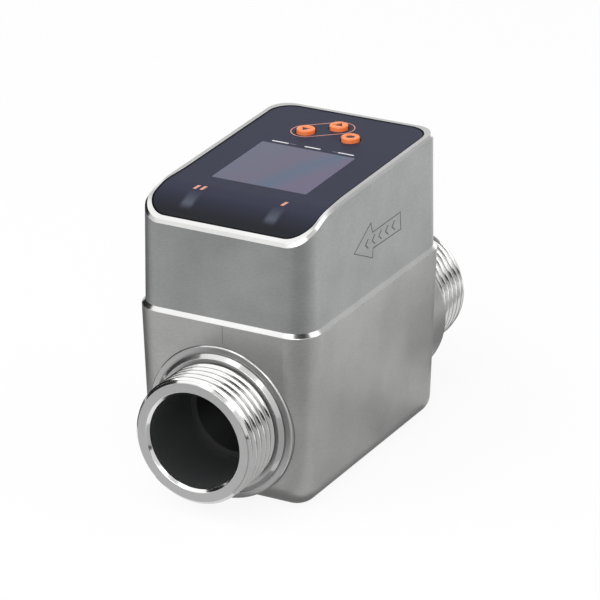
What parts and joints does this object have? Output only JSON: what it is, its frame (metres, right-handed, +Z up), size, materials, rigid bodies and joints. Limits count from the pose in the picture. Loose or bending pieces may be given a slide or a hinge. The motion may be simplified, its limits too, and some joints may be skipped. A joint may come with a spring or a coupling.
{
  "type": "electromagnetic flow sensor",
  "caption": "Inline electromagnetic flow sensor: rounded steel housing with a sloping display panel and push buttons, on a through pipe with threaded ends.",
  "frame": {"origin": "on the pipe axis, midway between the two sealing faces", "axes": "+Y along the pipe towards the inlet, +X to the right of the panel's reader, +Z up"},
  "size_m": [0.0506, 0.1186, 0.079],
  "materials": {
    "blasted_steel": "fine blasted stainless steel",
    "turned_steel": "bright turned stainless steel",
    "liner_black": "smooth black liner plastic",
    "tube_plastic": "moulded dark grey plastic",
    "seal_rubber": "soft black rubber",
    "electrode_steel": "polished stainless steel",
    "core_iron": "soft iron",
    "bobbin_plastic": "natural plastic",
    "copper_wire": "enamelled copper wire",
    "lead_insulation": "wire insulation",
    "panel_plastic": "dark satin panel",
    "window_clear": "smoky display window",
    "guide_smoke": "smoky light window",
    "button_orange": "orange moulded caps",
    "board_green": "coated circuit board",
    "module_grey": "dark grey moulding",
    "lamp_white": "light chip",
    "screw_steel": "zinc plated steel",
    "socket_metal": "nickel plated brass",
    "pin_gold": "gold plated contacts"
  },
  "bodies": {
    "sensor": {"lower_housing": "blasted_steel", "upper_housing": "blasted_steel", "outlet_fitting": "turned_steel", "inlet_fitting": "turned_steel", "outlet_liner": "liner_black", "inlet_liner": "liner_black", "measuring_tube": "tube_plastic", "outlet_tube_seal": "seal_rubber", "inlet_tube_seal": "seal_rubber", "upper_electrode": "electrode_steel", "lower_electrode": "electrode_steel", "electrode_seals": "seal_rubber", "electrode_nuts": "screw_steel", "temperature_probe": "electrode_steel", "probe_seal": "seal_rubber", "left_core": "core_iron", "right_core": "core_iron", "yoke": "core_iron", "left_bobbin": "bobbin_plastic", "right_bobbin": "bobbin_plastic", "left_winding": "copper_wire", "right_winding": "copper_wire", "sensor_leads": "lead_insulation", "front_panel": "panel_plastic", "panel_seal": "seal_rubber", "display_window": "window_clear", "left_light_guide": "guide_smoke", "right_light_guide": "guide_smoke", "display_board": "board_green", "main_board": "board_green", "connector_board": "board_green", "display_module": "module_grey", "key_switches": "module_grey", "board_link": "module_grey", "board_components": "module_grey", "status_lamps": "lamp_white", "board_spacers": "screw_steel", "board_screws": "screw_steel", "connector_shell": "socket_metal", "connector_nut": "socket_metal", "connector_seal": "seal_rubber", "connector_insert": "module_grey", "connector_pins": "pin_gold"},
    "down_button": {"down_button": "button_orange"},
    "up_button": {"up_button": "button_orange"},
    "enter_button": {"enter_button": "button_orange"}
  },
  "joints": [
    {"name": "down_press", "type": "slide", "parent": "sensor", "child": "down_button", "axis": [0, 0, -1], "range_m": [0, 0.0006], "stiffness_N_per_m": 2500},
    {"name": "up_press", "type": "slide", "parent": "sensor", "child": "up_button", "axis": [0, 0, -1], "range_m": [0, 0.0006], "stiffness_N_per_m": 2500},
    {"name": "enter_press", "type": "slide", "parent": "sensor", "child": "enter_button", "axis": [0, 0, -1], "range_m": [0, 0.0006], "stiffness_N_per_m": 2500}
  ]
}
